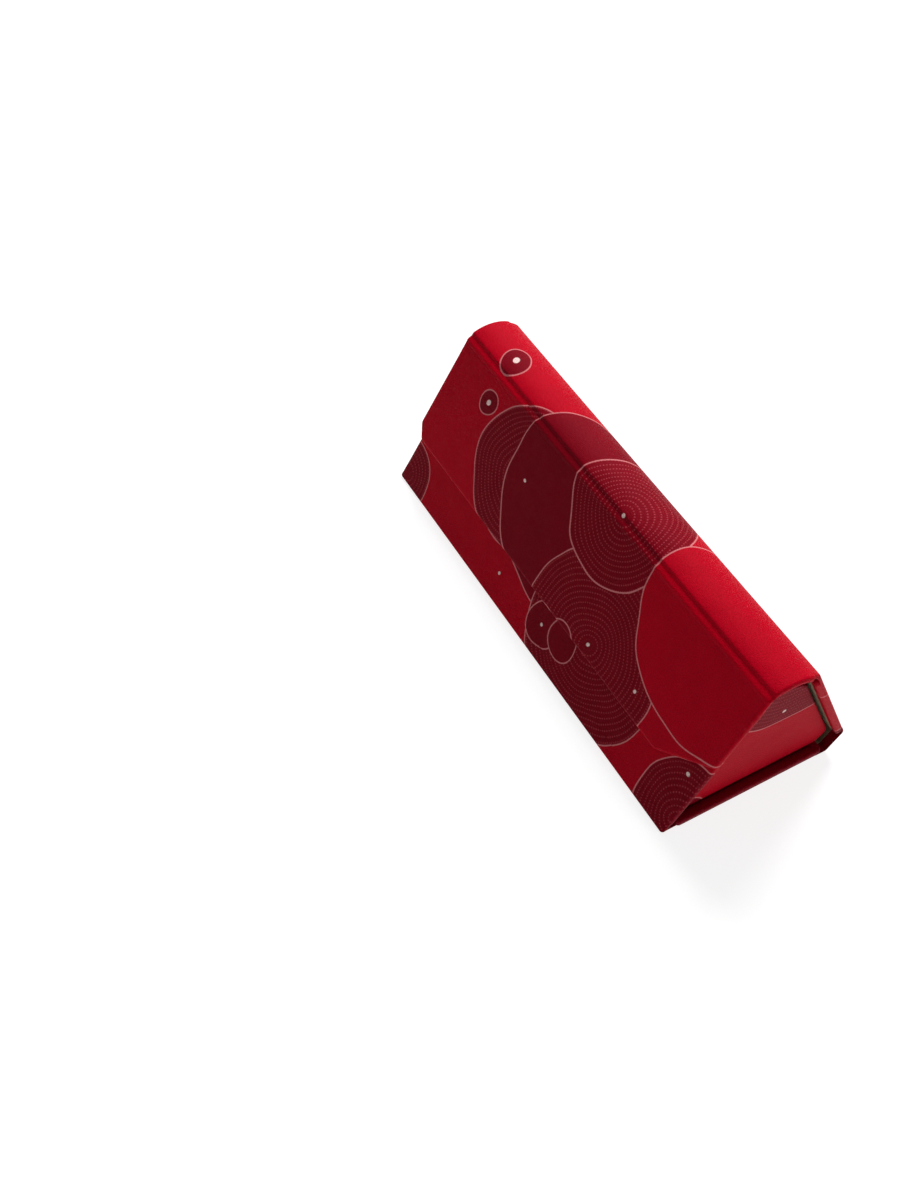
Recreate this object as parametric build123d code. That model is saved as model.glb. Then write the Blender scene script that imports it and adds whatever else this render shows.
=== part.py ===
from build123d import *
import os
from math import asin, atan2, cos, degrees, hypot, radians, sin, tan

os.makedirs("parts", exist_ok=True)

# Fold-flat eyeglasses case: a triangular box of covered boards with soft creases between them.
# X runs along the case, Y from the front fold to the back, Z up. The origin is on the table under
# the middle of the case. All lengths are in mm and all angles in degrees.

# Driving dimensions
LENGTH = 165.0  # base and back panel, end to end
BASE_DEPTH = 62.0  # front fold to rear fold, along the table
FRONT_SLOPE = 61.0  # front panel and flap above the table
FRONT_HEIGHT = 37.0  # front panel, up its slope
SLOPE_TO_RIDGE = 60.5  # front fold to the ridge crease, up the slope
FLAP_DROP = 42.0  # ridge crease to the flap's lower edge
SPINE_RUN = 5.0  # rear spine, table depth from the rear fold to the back crease
SPINE_RISE = 7.5  # rear spine, height of the back crease
RIDGE_BACK_Y = 45.0  # ridge's rear crease, behind the front fold
RIDGE_BACK_Z = 52.0  # ridge's rear crease, above the table
RIDGE_SAGITTA = 3.0  # rise of the ridge's arch above a straight line between its creases
LID_OVERHANG = 0.6  # ridge and flap past each end of the base
FRONT_END_INSET = 0.5  # front panel short of each end of the base
WING_INSET = 3.0  # outer face of each end wing inside the end of the base

# Layers
BASE_THICK = 2.8
BACK_THICK = 2.8
FRONT_THICK = 2.4
FLAP_THICK = 2.4
RIDGE_THICK = 2.2
WING_THICK = 1.6
COVER = 0.6  # printed outer cover
WRAP = 0.5  # cover where it is turned over the edges of a board
LINING = 0.5  # soft lining on the inside
WING_LINING = 0.4
TURN_IN = 3.0  # margin of cover that shows round the lining
CREASE_SHEET = 1.0  # cover and lining together, where there is no board
FLAP_GAP = 0.5  # air between the closed flap and the front panel
FOLD_AIR = 0.3  # air between layers when the case is folded flat
STRIP_GAP = 0.15  # air between a crease strip and the panels it joins
TABLE_GAP = 0.1  # crease strips stay this far above the table
LID_CREASE_SINK = 0.3  # rear ridge crease below the panels' outer faces
FLAP_CREASE_SINK = 0.7  # front ridge crease, pressed into a groove

# Ends of the boards beside each crease
FRONT_START = 3.0  # front panel starts this far up its slope
BASE_FRONT_GAP = 5.2  # base stops this far behind the front fold
BASE_REAR_GAP = 2.2  # base stops this far before the rear fold
BACK_TOP_GAP = 3.0
BACK_FOOT_GAP = 1.0
FLAP_TOP_GAP = 4.5
RIDGE_FRONT_GAP = 1.6
RIDGE_REAR_GAP = 3.0

# Rounding
CORNER = 1.5  # board corners, seen square on
EDGE = 0.9  # outer edges of a cover

# Flap corners: the right one is cut back further than the left one
RIGHT_CUT_ALONG = 19.0
RIGHT_CUT_UP = 12.5
LEFT_CUT_ALONG = 4.0
LEFT_CUT_UP = 5.0
FLAP_CORNER = 2.0

# End wings
WING_LIFT = 0.8  # air under a wing
WING_REAR_GAP = 1.0  # air between a wing and the back panel
WING_FOOT_CUT = 4.0  # depth of the rounded lower rear corner
WING_TOP = 60.2  # top edge of a wing, up the front slope
WING_CORNER = 1.5
TAPE_WIDTH = 4.0  # crease strip on a wing
TAPE_START = 8.0  # up the front slope, clear of the base
TAPE_THICK = 0.2

# Closing magnets
MAGNET_RADIUS = 4.5
MAGNET_THICK = 1.0
MAGNET_SPREAD = 45.0  # each magnet from the middle of the case
MAGNET_FROM_EDGE = 9.0  # above the flap's lower edge


# Section, in (y, z) from the front fold; placed on the centred frame by `to_part`
HALF_DEPTH = (BASE_DEPTH + SPINE_RUN) / 2
SLOPE = (cos(radians(FRONT_SLOPE)), sin(radians(FRONT_SLOPE)))
OUTWARD = (-SLOPE[1], SLOPE[0])


def up_front(distance, out):
    """Section point `distance` up the front slope and `out` outside the front panel's outer face."""
    return (
        distance * SLOPE[0] + out * OUTWARD[0],
        distance * SLOPE[1] + out * OUTWARD[1],
    )


FRONT_FOLD = (0.0, 0.0)
REAR_FOLD = (BASE_DEPTH, 0.0)
BACK_FOOT = (BASE_DEPTH + SPINE_RUN, SPINE_RISE)
RIDGE_BACK = (RIDGE_BACK_Y, RIDGE_BACK_Z)
RIDGE_FRONT = up_front(SLOPE_TO_RIDGE, FLAP_GAP + FLAP_THICK)
FLAP_EDGE = up_front(SLOPE_TO_RIDGE - FLAP_DROP, FLAP_GAP + FLAP_THICK)


def between(start, end):
    """Length and unit direction of the section line from start to end."""
    run = hypot(end[0] - start[0], end[1] - start[1])
    return run, ((end[0] - start[0]) / run, (end[1] - start[1]) / run)


def along(start, end, distance, out=0.0):
    """Section point on the line from start to end, moved `out` to its outer side."""
    _, way = between(start, end)
    return (
        start[0] + way[0] * distance - way[1] * out,
        start[1] + way[1] * distance + way[0] * out,
    )


# Ridge arch, as a circle through the two ridge creases
RIDGE_CHORD, RIDGE_WAY = between(RIDGE_FRONT, RIDGE_BACK)
RIDGE_RADIUS = (RIDGE_CHORD**2 / 4 + RIDGE_SAGITTA**2) / (2 * RIDGE_SAGITTA)
RIDGE_HALF_ANGLE = degrees(asin(RIDGE_CHORD / 2 / RIDGE_RADIUS))
RIDGE_CENTRE = along(RIDGE_FRONT, RIDGE_BACK, RIDGE_CHORD / 2, RIDGE_SAGITTA - RIDGE_RADIUS)
RIDGE_UP = degrees(atan2(RIDGE_WAY[0], -RIDGE_WAY[1]))  # direction of the arch's crown


def on_ridge(from_front, out=0.0):
    """Section point `from_front` mm of arc after the front ridge crease."""
    turn = RIDGE_UP + RIDGE_HALF_ANGLE - degrees(from_front / RIDGE_RADIUS)
    reach = RIDGE_RADIUS + out
    return (
        RIDGE_CENTRE[0] + reach * cos(radians(turn)),
        RIDGE_CENTRE[1] + reach * sin(radians(turn)),
    )


RIDGE_ARC = radians(2 * RIDGE_HALF_ANGLE) * RIDGE_RADIUS


def to_part(point, x=0.0):
    """Section point in the part's frame."""
    return (x, point[0] - HALF_DEPTH, point[1])


def panel_plane(start, end):
    """A panel's own frame: x along the case, y from start to end, z out of the case."""
    _, way = between(start, end)
    return Plane(origin=to_part(start), x_dir=(1, 0, 0), z_dir=(0, -way[1], way[0]))


def section_plate(points, length):
    """A closed section outline drawn along the case, centred on its middle."""
    plane = Plane(origin=(0, 0, 0), x_dir=(0, 1, 0), z_dir=(1, 0, 0))
    ring = [(y - HALF_DEPTH, z) for y, z in points]
    face = make_face(Polyline(*ring, close=True))
    return extrude(plane * face, length / 2, both=True)


def ribbon(points, outer, inner, length):
    """A bent sheet: the open path between two offsets of it, outer side to the path's left."""

    def offset_path(out):
        path = [along(points[0], points[1], 0, out)]
        for before, here, after in zip(points, points[1:], points[2:]):
            _, way_in = between(before, here)
            _, way_out = between(here, after)
            turn = atan2(
                way_in[0] * way_out[1] - way_in[1] * way_out[0],
                way_in[0] * way_out[0] + way_in[1] * way_out[1],
            )
            slide = -out * tan(turn / 2)
            path.append(along(here, after, -slide, out))
        run, _ = between(points[-2], points[-1])
        path.append(along(points[-2], points[-1], run, out))
        return path

    return section_plate(offset_path(outer) + offset_path(inner)[::-1], length)


def between_depths(face, top, bottom):
    """Solid of a flat outline from depth `top` to depth `bottom` below its own plane."""
    return Pos(0, 0, -bottom) * extrude(face, bottom - top)


def rounded_panel(length, start, end):
    """Panel outline in its own frame, with rounded board corners."""
    face = Pos(0, (start + end) / 2) * Rectangle(length, end - start)
    return fillet(face.vertices(), CORNER)


def covered_board(outline, thick, lining, pockets=None, pockets_outside=True):
    """Cover, board and lining of one panel, in its own frame with the outer face at z = 0.

    The cover is turned over the board's edges and on to its inner face, and the lining fills
    what the turned-in margin leaves. Pockets in the board take the magnets.
    """
    core = offset(outline, -WRAP)
    window = offset(outline, -TURN_IN)
    board = between_depths(core, COVER, thick - lining)
    liner = between_depths(window, thick - lining, thick)
    block = between_depths(outline, 0, thick)
    skin_edges = block.faces().sort_by(Axis.Z)[-1].edges()
    cover = fillet(skin_edges, EDGE) - board - liner
    if pockets is not None:
        depth = COVER if pockets_outside else thick - lining - MAGNET_THICK
        board -= between_depths(pockets, depth, depth + MAGNET_THICK)
    return cover, board, liner


def magnet_discs(row):
    """Outline of the pair of magnets, `row` up the panel."""
    return Sketch() + [Pos(x, row) * Circle(MAGNET_RADIUS) for x in (-MAGNET_SPREAD, MAGNET_SPREAD)]


def write(name, shape):
    """Save one node."""
    shape.label = name
    export_step(shape, f"parts/{name}.step")


def write_panel(name, frame, layers):
    """Save a panel's cover, board and lining in the part's frame."""
    for layer, shape in zip(("cover", "board", "lining"), layers):
        write(f"{name}_{layer}", frame * shape)


def make_base():
    """Floor of the case, outer face down on the table."""
    frame = panel_plane(REAR_FOLD, FRONT_FOLD)
    outline = rounded_panel(LENGTH, BASE_REAR_GAP, BASE_DEPTH - BASE_FRONT_GAP)
    write_panel("base", frame, covered_board(outline, BASE_THICK, LINING))


def make_front():
    """Low front panel with the two magnets that the flap closes on."""
    frame = panel_plane(FRONT_FOLD, up_front(1, 0))
    outline = rounded_panel(LENGTH - 2 * FRONT_END_INSET, FRONT_START, FRONT_HEIGHT)
    row = SLOPE_TO_RIDGE - FLAP_DROP + MAGNET_FROM_EDGE
    discs = magnet_discs(row)
    write_panel("front", frame, covered_board(outline, FRONT_THICK, LINING, discs))
    magnets = between_depths(discs, COVER, COVER + MAGNET_THICK)
    write("front_magnets", frame * magnets)


def make_back():
    """Back panel, from the ridge's rear crease down to the spine."""
    frame = panel_plane(RIDGE_BACK, BACK_FOOT)
    height, _ = between(RIDGE_BACK, BACK_FOOT)
    outline = rounded_panel(LENGTH, BACK_TOP_GAP, height - BACK_FOOT_GAP)
    write_panel("back", frame, covered_board(outline, BACK_THICK, LINING))


def make_flap():
    """Closing flap with its cut corners and two magnets."""
    frame = panel_plane(FLAP_EDGE, RIDGE_FRONT)
    reach = LENGTH / 2 + LID_OVERHANG
    top = FLAP_DROP - FLAP_TOP_GAP
    corners = [
        (-reach, top),
        (-reach, LEFT_CUT_UP),
        (-reach + LEFT_CUT_ALONG, 0),
        (reach - RIGHT_CUT_ALONG, 0),
        (reach, RIGHT_CUT_UP),
        (reach, top),
    ]
    outline = make_face(Polyline(*corners, close=True))
    outline = fillet(outline.vertices(), FLAP_CORNER)
    discs = magnet_discs(MAGNET_FROM_EDGE)
    layers = covered_board(outline, FLAP_THICK, LINING, discs, pockets_outside=False)
    write_panel("flap", frame, layers)
    deep = FLAP_THICK - LINING
    write("flap_magnets", frame * between_depths(discs, deep - MAGNET_THICK, deep))


def make_ridge():
    """Arched strip along the top of the lid."""

    def arch(outer, inner, edge, length):
        front = RIDGE_FRONT_GAP + edge
        back = RIDGE_ARC - RIDGE_REAR_GAP - edge
        middle = (front + back) / 2

        def bow(out):
            ends = [on_ridge(front, out), on_ridge(middle, out), on_ridge(back, out)]
            return ThreePointArc(*[(y - HALF_DEPTH, z) for y, z in ends])

        over = bow(-outer)
        under = bow(-inner)
        profile = make_face([over, under, Line(over @ 0, under @ 0), Line(over @ 1, under @ 1)])
        plane = Plane(origin=(0, 0, 0), x_dir=(0, 1, 0), z_dir=(1, 0, 0))
        return extrude(plane * profile, length / 2, both=True)

    reach = LENGTH + 2 * LID_OVERHANG
    deep = RIDGE_THICK - LINING
    board = arch(COVER, deep, WRAP, reach - 2 * WRAP)
    liner = arch(deep, RIDGE_THICK, TURN_IN, reach - 2 * TURN_IN)
    cover = arch(0, RIDGE_THICK, 0, reach) - board - liner
    write("ridge_cover", cover)
    write("ridge_board", board)
    write("ridge_lining", liner)


def wing_outline():
    """Outline of an end wing: front edge, top edge, rear edge and rounded lower rear corner."""
    depth = -(FRONT_THICK + FOLD_AIR)
    floor = BASE_THICK + WING_LIFT
    foot = up_front((floor - depth * OUTWARD[1]) / SLOPE[1], depth)
    head = up_front(WING_TOP, depth)
    rear_out = -(BACK_THICK + WING_REAR_GAP)
    rear_top = along(RIDGE_BACK, BACK_FOOT, 0, rear_out)
    _, way = between(RIDGE_BACK, BACK_FOOT)
    climb = WING_TOP - rear_top[0] * SLOPE[0] - rear_top[1] * SLOPE[1]
    down = climb / (way[0] * SLOPE[0] + way[1] * SLOPE[1])
    rear_head = (rear_top[0] + way[0] * down, rear_top[1] + way[1] * down)
    low = (floor + WING_FOOT_CUT - rear_top[1]) / way[1]
    heel = (rear_top[0] + way[0] * low, rear_top[1] + way[1] * low)
    toe = (heel[0] - WING_FOOT_CUT, floor)
    ring = [(y - HALF_DEPTH, z) for y, z in (foot, toe, heel, rear_head, head)]
    return make_face(Polyline(*ring, close=True))


def make_wings():
    """End wings: they hang from the ends of the front panel and close the ends of the case."""
    outline = wing_outline()
    outline = fillet(outline.vertices(), WING_CORNER)
    depth = FRONT_THICK + STRIP_GAP
    tape_end = FRONT_HEIGHT - CORNER
    outer_face = LENGTH / 2 - WING_INSET
    strip = Rectangle(TAPE_THICK, tape_end - TAPE_START)
    strip = Pos(outer_face + TAPE_THICK / 2, (TAPE_START + tape_end) / 2) * strip
    slope_frame = panel_plane(FRONT_FOLD, up_front(1, 0))
    tape = slope_frame * between_depths(strip, depth, depth + TAPE_WIDTH)
    plane = Plane(origin=(outer_face, 0, 0), x_dir=(0, 1, 0), z_dir=(1, 0, 0))
    layers = [plane * layer for layer in covered_board(outline, WING_THICK, WING_LINING)]
    for side in ("left", "right"):
        pieces = dict(zip(("cover", "board", "lining"), layers), crease=tape)
        for layer, shape in pieces.items():
            placed = shape if side == "right" else mirror(shape, about=Plane.YZ)
            write(f"{side}_wing_{layer}", placed)


def make_creases():
    """Soft strips without a board, where one panel turns on the next."""
    lid_length = LENGTH + 2 * LID_OVERHANG
    clear = STRIP_GAP

    # Front fold, under the front edge of the base and up to the front panel
    toe = FRONT_START - clear
    sheet = TABLE_GAP + CREASE_SHEET
    inner_climb = (sheet + CREASE_SHEET * OUTWARD[1]) / SLOPE[1]
    front = [
        (BASE_FRONT_GAP - clear, TABLE_GAP),
        (TABLE_GAP / tan(radians(FRONT_SLOPE)), TABLE_GAP),
        up_front(toe, 0),
        up_front(toe, -CREASE_SHEET),
        up_front(inner_climb, -CREASE_SHEET),
        (BASE_FRONT_GAP - clear, sheet),
    ]
    write("front_crease", section_plate(front, LENGTH - 2 * FRONT_END_INSET))

    # Rear spine, from the back panel's foot round to the underside of the base
    rise, _ = between(RIDGE_BACK, BACK_FOOT)
    path = [
        along(RIDGE_BACK, BACK_FOOT, rise - BACK_FOOT_GAP + clear),
        BACK_FOOT,
        REAR_FOLD,
        (BASE_DEPTH - BASE_REAR_GAP + clear, 0),
    ]
    write("spine_cover", ribbon(path, -TABLE_GAP, -TABLE_GAP - COVER, LENGTH))
    write("spine_lining", ribbon(path, -TABLE_GAP - COVER, -TABLE_GAP - COVER - LINING, LENGTH))

    # Ridge creases; the front one is pressed into a groove
    rear = [
        on_ridge(RIDGE_ARC - RIDGE_REAR_GAP + clear),
        RIDGE_BACK,
        along(RIDGE_BACK, BACK_FOOT, BACK_TOP_GAP - clear),
    ]
    sink = -LID_CREASE_SINK
    write("lid_crease", ribbon(rear, sink, sink - CREASE_SHEET, LENGTH))
    groove = [
        along(RIDGE_FRONT, FLAP_EDGE, FLAP_TOP_GAP - clear),
        RIDGE_FRONT,
        on_ridge(RIDGE_FRONT_GAP - clear),
    ]
    sink = -FLAP_CREASE_SINK
    write("flap_crease", ribbon(groove, sink, sink - CREASE_SHEET, lid_length))


make_base()
make_front()
make_back()
make_ridge()
make_flap()
make_wings()
make_creases()
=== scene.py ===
from math import acos, atan2, ceil, cos, hypot, pi, radians, sin, tan

import bmesh
import bpy
import numpy as np
from mathutils import Matrix, Vector


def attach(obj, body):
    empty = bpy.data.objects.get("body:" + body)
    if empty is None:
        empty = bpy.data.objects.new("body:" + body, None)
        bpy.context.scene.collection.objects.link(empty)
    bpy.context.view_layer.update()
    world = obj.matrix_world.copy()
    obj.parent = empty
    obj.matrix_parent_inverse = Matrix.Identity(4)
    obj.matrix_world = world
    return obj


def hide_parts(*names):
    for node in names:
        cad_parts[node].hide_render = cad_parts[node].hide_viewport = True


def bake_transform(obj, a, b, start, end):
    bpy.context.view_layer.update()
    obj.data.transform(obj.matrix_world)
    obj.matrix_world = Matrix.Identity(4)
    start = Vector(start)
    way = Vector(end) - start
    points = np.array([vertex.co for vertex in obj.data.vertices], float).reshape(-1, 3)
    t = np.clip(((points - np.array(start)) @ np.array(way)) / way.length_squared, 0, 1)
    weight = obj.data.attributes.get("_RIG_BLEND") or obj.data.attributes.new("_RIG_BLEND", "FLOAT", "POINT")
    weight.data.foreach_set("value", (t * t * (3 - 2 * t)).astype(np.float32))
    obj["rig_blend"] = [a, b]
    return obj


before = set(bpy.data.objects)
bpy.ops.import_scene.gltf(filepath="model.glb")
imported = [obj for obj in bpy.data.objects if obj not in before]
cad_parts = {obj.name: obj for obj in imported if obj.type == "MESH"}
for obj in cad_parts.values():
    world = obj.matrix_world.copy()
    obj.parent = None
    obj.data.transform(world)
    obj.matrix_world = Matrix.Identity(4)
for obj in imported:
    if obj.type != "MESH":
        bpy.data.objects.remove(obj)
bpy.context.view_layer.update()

# Lengths are in mm until a point is placed, and the section runs in (y, z) of the part's frame.
MM = 0.001

# ---------------------------------------------------------------- camera
EYE = Vector((0.22460, -0.19653, 0.37365))
EYE_RIGHT = Vector((0.48948, 0.87161, 0.02647)).normalized()
EYE_BACK = Vector((0.52546, -0.31905, 0.78873)).normalized()
LENS = 42.66
SENSOR = 36.0
CLIP = (0.005, 60.0)


def make_camera():
    up = EYE_BACK.cross(EYE_RIGHT).normalized()
    right = up.cross(EYE_BACK)
    data = bpy.data.cameras.new("camera")
    data.lens = LENS
    data.sensor_width = SENSOR
    data.clip_start, data.clip_end = CLIP
    cam = bpy.data.objects.new("camera", data)
    axes = Matrix((right, up, EYE_BACK)).transposed().to_4x4()
    cam.matrix_world = Matrix.Translation(EYE) @ axes
    bpy.context.scene.collection.objects.link(cam)
    bpy.context.scene.camera = cam


make_camera()

# ---------------------------------------------------------------- the case's section
FRONT_SLOPE = radians(61.0)
SLOPE = np.array((cos(FRONT_SLOPE), sin(FRONT_SLOPE)))
FRONT_FOLD = np.array((-33.5, 0.0))
REAR_FOLD = np.array((28.5, 0.0))
BACK_FOOT = np.array((33.5, 7.5))
RIDGE_BACK = np.array((11.5, 52.0))
SLOPE_TO_RIDGE = 60.5  # front fold to the ridge's front crease, up the slope
FLAP_DROP = 42.0  # that crease to the flap's lower edge
FLAP_PROUD = 2.9  # the flap's outer face over the front panel's
RIDGE_SAGITTA = 3.0

HALF_LENGTH = 82.5
HALF_LID = 83.1
HALF_FRONT = 82.0
WING_FACE = 79.5  # a wing's outer face, from the middle of the case
BASE_THICK = 2.8
BACK_THICK = 2.8
FRONT_THICK = 2.4
FLAP_THICK = 2.4
RIDGE_THICK = 2.2
WING_THICK = 1.6


def left_of(way):
    """The outer side of a section path that runs this way."""
    return np.array((-way[1], way[0]))


def up_front(distance, out=0.0):
    return FRONT_FOLD + SLOPE * distance + left_of(SLOPE) * out


RIDGE_FRONT = up_front(SLOPE_TO_RIDGE, FLAP_PROUD)
FLAP_EDGE = up_front(SLOPE_TO_RIDGE - FLAP_DROP, FLAP_PROUD)

CHORD = hypot(*(RIDGE_BACK - RIDGE_FRONT))
CROWN_WAY = left_of((RIDGE_BACK - RIDGE_FRONT) / CHORD)
RIDGE_RADIUS = (CHORD**2 / 4 + RIDGE_SAGITTA**2) / (2 * RIDGE_SAGITTA)
RIDGE_CENTRE = (RIDGE_FRONT + RIDGE_BACK) / 2 + CROWN_WAY * (RIDGE_SAGITTA - RIDGE_RADIUS)
RIDGE_HALF = acos((RIDGE_RADIUS - RIDGE_SAGITTA) / RIDGE_RADIUS)
RIDGE_UP = atan2(CROWN_WAY[1], CROWN_WAY[0])
RIDGE_ARC = 2 * RIDGE_HALF * RIDGE_RADIUS
BACK_HEIGHT = hypot(*(BACK_FOOT - RIDGE_BACK))
BACK_WAY = (BACK_FOOT - RIDGE_BACK) / BACK_HEIGHT
SPINE = hypot(*(REAR_FOLD - BACK_FOOT))
SPINE_WAY = (REAR_FOLD - BACK_FOOT) / SPINE

# Where each panel starts on the unrolled cover, in mm up from the front fold
AT_FLAP = SLOPE_TO_RIDGE - FLAP_DROP
AT_RIDGE = SLOPE_TO_RIDGE
AT_BACK = AT_RIDGE + RIDGE_ARC
AT_SPINE = AT_BACK + BACK_HEIGHT
AT_BASE = AT_SPINE + SPINE
# The wings' print starts this far out to the side of it
WING_PRINT = HALF_LENGTH + 100.0


def on_ridge(s, n=0.0):
    """Point s mm of arc behind the ridge's front crease, n mm outside it."""
    turn = RIDGE_UP + RIDGE_HALF - s / RIDGE_RADIUS
    return RIDGE_CENTRE + (RIDGE_RADIUS + n) * np.array((cos(turn), sin(turn)))


# The lid sags a little between its ends, by this much at this height
SAG = 0.35
SAG_HEIGHT = 54.0


def placed(x, point):
    """Section point at x along the case, as a point of the frame in metres."""
    y, z = point
    share = max(0.0, 1 - (x / HALF_LENGTH) ** 2) * min(1.0, max(0.0, z / SAG_HEIGHT))
    return Vector((x * MM, y * MM, (z - SAG * share) * MM))


def at_point(point):
    """Section point in the middle of the case, without the sag."""
    return Vector((0.0, point[0] * MM, point[1] * MM))


def flat_panel(origin, way):
    """Places (x, s, n) of a panel: along the case, down its way from the origin, and outwards."""
    return lambda x, s, n: placed(x, origin + way * s + left_of(way) * n)


# ---------------------------------------------------------------- mesh tools
ARC_STEPS = 6
EDGE_STEPS = 5
GRID = 6.0  # cells of a slab along the case
GRID_SHIFT = 0.013  # keeps the cuts off the outline's own points
CUT_SNAP = 1e-5
LEAST_RADIUS = 0.08


def ring(corners, inset):
    """An outline of rounded corners (x, y, radius), moved inwards by inset."""
    points = []
    count = len(corners)
    for i in range(count):
        here = np.array(corners[i][:2], float)
        before = np.array(corners[i - 1][:2], float)
        after = np.array(corners[(i + 1) % count][:2], float)
        way_in = (here - before) / hypot(*(here - before))
        way_out = (after - here) / hypot(*(after - here))
        turn = acos(max(-1.0, min(1.0, float(way_in @ way_out))))
        radius = max(corners[i][2] - inset, LEAST_RADIUS)
        tip = here + (left_of(way_in) + left_of(way_out)) * inset / (1 + cos(turn))
        back = tip - way_in * radius * tan(turn / 2)
        centre = back + left_of(way_in) * radius
        start = atan2(*(back - centre)[::-1])
        for k in range(ARC_STEPS + 1):
            a = start + turn * k / ARC_STEPS
            points.append(centre + radius * np.array((cos(a), sin(a))))
    return points


def quarter(radius, start, end):
    """Profile points (inset, depth) of an edge rounded from one angle to the other."""
    out = []
    for k in range(EDGE_STEPS + 1):
        a = start + (end - start) * k / EDGE_STEPS
        out.append((radius * (1 - sin(a)), -radius * (1 - cos(a))))
    return out


def new_mesh():
    """An empty form with the unrolled places of its corners and, on its points, where the painted edge
    highlight goes.
    """
    bm = bmesh.new()
    bm.loops.layers.uv.new("unrolled")
    bm.verts.layers.float.new("edge")
    return bm


def add_face(bm, verts, flat):
    made = bm.faces.new(verts)
    uv = bm.loops.layers.uv["unrolled"]
    for loop, place in zip(made.loops, flat):
        loop[uv].uv = place
    return made


def skin(bm, rings, lined=None):
    """Closes a form through rings of (verts, unrolled places), with a face at each end.

    lined says which faces take the second material, from their place in the ring and two corners.
    """
    for (a, ua), (b, ub) in zip(rings, rings[1:]):
        for i in range(len(a)):
            j = (i + 1) % len(a)
            made = add_face(bm, (a[i], a[j], b[j], b[i]), (ua[i], ua[j], ub[j], ub[i]))
            if lined and lined(i, a[i], b[i]):
                made.material_index = 1
    for end in (rings[0], rings[-1]):
        add_face(bm, *end)


def new_piece(name, bm, materials):
    mesh = bpy.data.meshes.new(name)
    bm.to_mesh(mesh)
    bm.free()
    for material in materials:
        mesh.materials.append(material)
    mesh.shade_smooth()
    piece = bpy.data.objects.new(name, mesh)
    bpy.context.scene.collection.objects.link(piece)
    return piece


def cut_grid(bm, corners, cell):
    """Cuts a form into cells, so that it can follow a curved panel and the sag."""
    span = np.array([c[:2] for c in corners])
    for axis, pitch, normal in ((0, GRID, (1, 0, 0)), (1, cell, (0, 1, 0))):
        low, high = span[:, axis].min(), span[:, axis].max()
        cuts = max(2, ceil((high - low) / pitch))
        for k in range(1, cuts):
            at = low + (high - low) * k / cuts + GRID_SHIFT
            point = tuple(at * c for c in normal)
            everything = bm.verts[:] + bm.edges[:] + bm.faces[:]
            bmesh.ops.bisect_plane(bm, geom=everything, dist=CUT_SNAP, plane_co=point, plane_no=normal)


def slab(name, corners, rows, place, unrolled, material, highlight_rows=(), cell=2.0):
    """A closed form lofted through offsets of one outline, then laid on its panel.

    rows are (inset, depth, unrolled inset); the rows on the board's edge are given by index and take a
    painted highlight.
    """
    bm = new_mesh()
    # Marks the points on the board's edge, where a lighter painted highlight goes
    highlight_layer = bm.verts.layers.float["edge"]
    rings = []
    for index, (inset, depth, spread) in enumerate(rows):
        verts = [bm.verts.new((point[0], point[1], depth)) for point in ring(corners, inset)]
        for vert in verts:
            vert[highlight_layer] = 1.0 if index in highlight_rows else 0.0
        rings.append((verts, [unrolled(*p) for p in ring(corners, spread)]))
    skin(bm, rings)
    cut_grid(bm, corners, cell)
    for vert in bm.verts:
        vert.co = place(vert.co.x, vert.co.y, vert.co.z)
    bmesh.ops.recalc_face_normals(bm, faces=bm.faces[:])
    return new_piece(name, bm, [material])


PATH_STEP = 0.25
BEND_STEPS = 10  # per radian of a bend
LEAST_STEP = 1e-3  # between a strip's points


def bent_path(points, radii):
    """Points, outer normals and run along a section path, its corners rounded to these radii.

    The run is 0 half way round the first corner whose radius isn't 0.
    """
    points = [np.asarray(p, float) for p in points]
    ways = [(b - a) / hypot(*(b - a)) for a, b in zip(points, points[1:])]
    place, side, run = [], [], []
    total, zero = 0.0, None
    here = points[0]
    for i, way in enumerate(ways):
        cut = 0.0
        bend = i < len(radii) and radii[i] > 0
        if bend:
            cross = way[0] * ways[i + 1][1] - way[1] * ways[i + 1][0]
            turn = atan2(cross, float(way @ ways[i + 1]))
            cut = radii[i] * tan(abs(turn) / 2)
        end = points[i + 1] - way * cut
        length = float((end - here) @ way)
        steps = max(1, round(length / PATH_STEP))
        for k in range(steps + 1):
            place.append(here + way * length * k / steps)
            side.append(left_of(way))
            run.append(total + length * k / steps)
        total += length
        if i + 1 < len(ways):
            here = points[i + 1] + ways[i + 1] * cut
        if bend:
            centre = end + left_of(way) * radii[i] * (1 if turn > 0 else -1)
            steps = max(4, round(abs(turn) * BEND_STEPS))
            for k in range(1, steps):
                a = turn * k / steps
                spin = np.array(((cos(a), -sin(a)), (sin(a), cos(a))))
                place.append(centre + spin @ (end - centre))
                side.append(spin @ left_of(way))
                run.append(total + radii[i] * abs(a))
            if zero is None:
                zero = total + radii[i] * abs(turn) / 2
            total += radii[i] * abs(turn)
    return np.array(place), np.array(side), np.array(run) - zero


def along(path, marks, profile):
    """Section points at these runs of a path, moved out by a (run, height) profile."""
    place, side, run = path
    where = np.stack([np.interp(marks, run, place[:, k]) for k in (0, 1)], axis=1)
    normal = np.stack([np.interp(marks, run, side[:, k]) for k in (0, 1)], axis=1)
    normal /= np.linalg.norm(normal, axis=1)[:, None]
    return where + normal * np.interp(marks, *zip(*profile))[:, None]


STRIP_STEP = 5.0
TURN_IN = 3.0  # a cover's margin inside the case


def strip_marks(path, outer, low, high):
    """Runs at which a strip has points: those of its path and of its profile, and its two ends."""
    knots = np.concatenate((path[2], [run for run, _ in outer]))
    inside = (knots > low + LEAST_STEP) & (knots < high - LEAST_STEP)
    knots = np.unique(np.round(knots[inside] / LEAST_STEP)) * LEAST_STEP
    return np.concatenate(([low], knots, [high]))


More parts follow.
